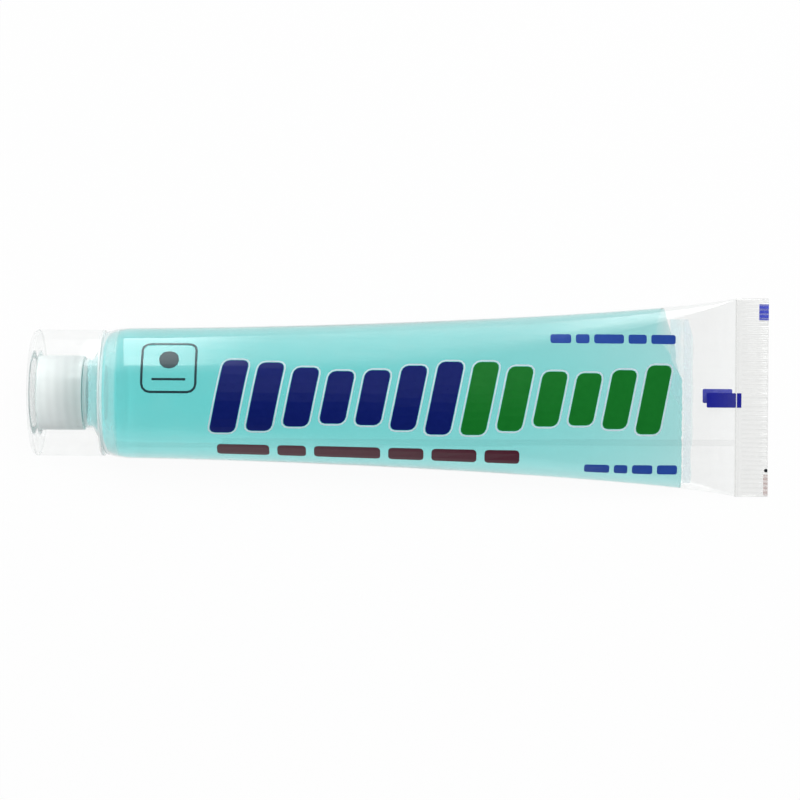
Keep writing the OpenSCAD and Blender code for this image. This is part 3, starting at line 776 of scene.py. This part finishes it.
cap_finish = moulded_finish("cap_natural", cap_milk, (0.985, 0.988, 0.986), (0.95, 1.0, 0.99), 0.12)
skirt_points, skirt_faces = turned(softened(cap_outline, 0.14))
ring_points, ring_faces = turned(softened(ring_outline, 0.14), ring_ridge)
ring_faces = [[i + len(skirt_points) for i in face] for face in ring_faces]
cap = piece_from("screw_cap", skirt_points + ring_points, skirt_faces + ring_faces, [cap_finish],
                 "cap", "cap_plastic", smooth_below=35.0)
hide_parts("cap")

# Table, light and camera. The tube lies on a plain white table under soft studio light, with a
# white card along its far side, and the camera looks straight down on it.

TABLE_REACH = 4
TABLE_Z = -0.00006
floor_mesh = bpy.data.meshes.new("table")
floor_mesh.from_pydata([(-TABLE_REACH, -TABLE_REACH, TABLE_Z), (TABLE_REACH, -TABLE_REACH, TABLE_Z),
                        (TABLE_REACH, TABLE_REACH, TABLE_Z), (-TABLE_REACH, TABLE_REACH, TABLE_Z)], [],
                       [(0, 1, 2, 3)])
table, start = new_finish("white_table")
ray = start.node("ShaderNodeLightPath", out="Is Camera Ray")
seen = ray + start.node("ShaderNodeLightPath", out="Is Glossy Ray")
seen = seen + start.node("ShaderNodeLightPath", out="Is Transmission Ray")
seen = start.node("ShaderNodeMath", {0: seen, 1: 1.0}, operation="MINIMUM") * 0.95
speck = grain(start, spot(start), 300.0)
paper = start.node("ShaderNodeBsdfDiffuse", {
    "Color": blend(start, speck, (0.90, 0.90, 0.90, 1.0), (0.93, 0.93, 0.93, 1.0))})
glow = start.node("ShaderNodeEmission", {"Color": (1.0, 1.0, 1.0, 1.0), "Strength": 1.0})
finished(start, start.node("ShaderNodeMixShader", {0: seen, 1: paper, 2: glow}))
floor_mesh.materials.append(table)
floor = bpy.data.objects.new("table", floor_mesh)
bpy.context.collection.objects.link(floor)

world = bpy.data.worlds.new("studio")
bpy.context.scene.world = world
world.use_nodes = True
world.node_tree.nodes.clear()
sky = Flow(world.node_tree)
white = sky.node("ShaderNodeBackground", {"Color": (1.0, 1.0, 1.0, 1.0), "Strength": 1.0})
upward = sky.node("ShaderNodeSeparateXYZ", {0: sky.node("ShaderNodeTexCoord", out="Generated")}, out="Z")
overhead = band(sky, upward, 0.1, 0.6)
walls = blend(sky, overhead, (0.72, 0.74, 0.76, 1.0), (0.05, 0.052, 0.055, 1.0))
room = sky.node("ShaderNodeBackground", {"Color": walls, "Strength": 1.0})
sight = sky.node("ShaderNodeLightPath", out="Is Camera Ray")
through = sky.node("ShaderNodeLightPath", out="Is Transmission Ray") * (1.0 - overhead)
direct = sky.node("ShaderNodeMath", {0: sight + through, 1: 1.0}, operation="MINIMUM")
sky.node("ShaderNodeOutputWorld", {
    "Surface": sky.node("ShaderNodeMixShader", {0: direct, 1: room, 2: white})})

lamp = bpy.data.lights.new("overhead_softbox", "AREA")
lamp.shape = "RECTANGLE"
lamp.size, lamp.size_y = 0.7, 0.5
lamp.energy = 6.6
softbox = bpy.data.objects.new("overhead_softbox", lamp)
softbox.location = (0.05, 0.20, 0.80)
softbox.rotation_euler = (-softbox.location).to_track_quat("-Z", "Y").to_euler()
softbox.visible_camera = softbox.visible_glossy = softbox.visible_transmission = False
bpy.context.collection.objects.link(softbox)

# The card glows softly, most beside the shoulder and beside the tail.
CARD_REACH = 0.11
CARD_Y = 0.062
CARD_FOOT, CARD_TOP = 0.0005, 0.118
card_mesh = bpy.data.meshes.new("side_card")
card_mesh.from_pydata([(-CARD_REACH, CARD_Y, CARD_FOOT), (CARD_REACH, CARD_Y, CARD_FOOT),
                       (CARD_REACH, CARD_Y, CARD_TOP), (-CARD_REACH, CARD_Y, CARD_TOP)], [], [(0, 1, 2, 3)])
glowing, start = new_finish("side_card")
along = start.node("ShaderNodeSeparateXYZ", {0: spot(start)}, out="X")
up = start.node("ShaderNodeSeparateXYZ", {0: spot(start)}, out="Z")
shoulder_glow = band(start, along, -0.0700, -0.0680) * (1.0 - band(start, along, -0.059, -0.029)) \
    * (1.0 - band(start, up, 0.073, 0.077))
tail_glow = band(start, along, 0.030, 0.060) * (1.0 - band(start, up, 0.020, 0.060))
soft_top = 1.0 - band(start, up, 0.050, CARD_TOP)
finished(start, start.node("ShaderNodeEmission", {
    "Color": (1.0, 1.0, 1.0, 1.0), "Strength": shoulder_glow * 4.1 + tail_glow * 2.5 + soft_top * 1.6}))
card_mesh.materials.append(glowing)
card = bpy.data.objects.new("side_card", card_mesh)
card.visible_camera = card.visible_diffuse = card.visible_transmission = card.visible_shadow = False
bpy.context.collection.objects.link(card)

view = bpy.data.cameras.new("camera")
FRAME_WIDTH = 36.0
PICTURE_PIXELS = 800
FOCAL_PIXELS = 2655
CAMERA_X, CAMERA_Y, CAMERA_Z = -1.17, -1.07, 583.3
CAMERA_TURN = 0.41
view.sensor_width = FRAME_WIDTH
view.lens = FRAME_WIDTH * FOCAL_PIXELS / PICTURE_PIXELS
camera = bpy.data.objects.new("camera", view)
camera.location = (CAMERA_X * MM, CAMERA_Y * MM, CAMERA_Z * MM)
camera.rotation_euler = (0.0, 0.0, math.radians(CAMERA_TURN))
bpy.context.collection.objects.link(camera)
bpy.context.scene.camera = camera
bpy.context.scene.view_settings.view_transform = "Standard"
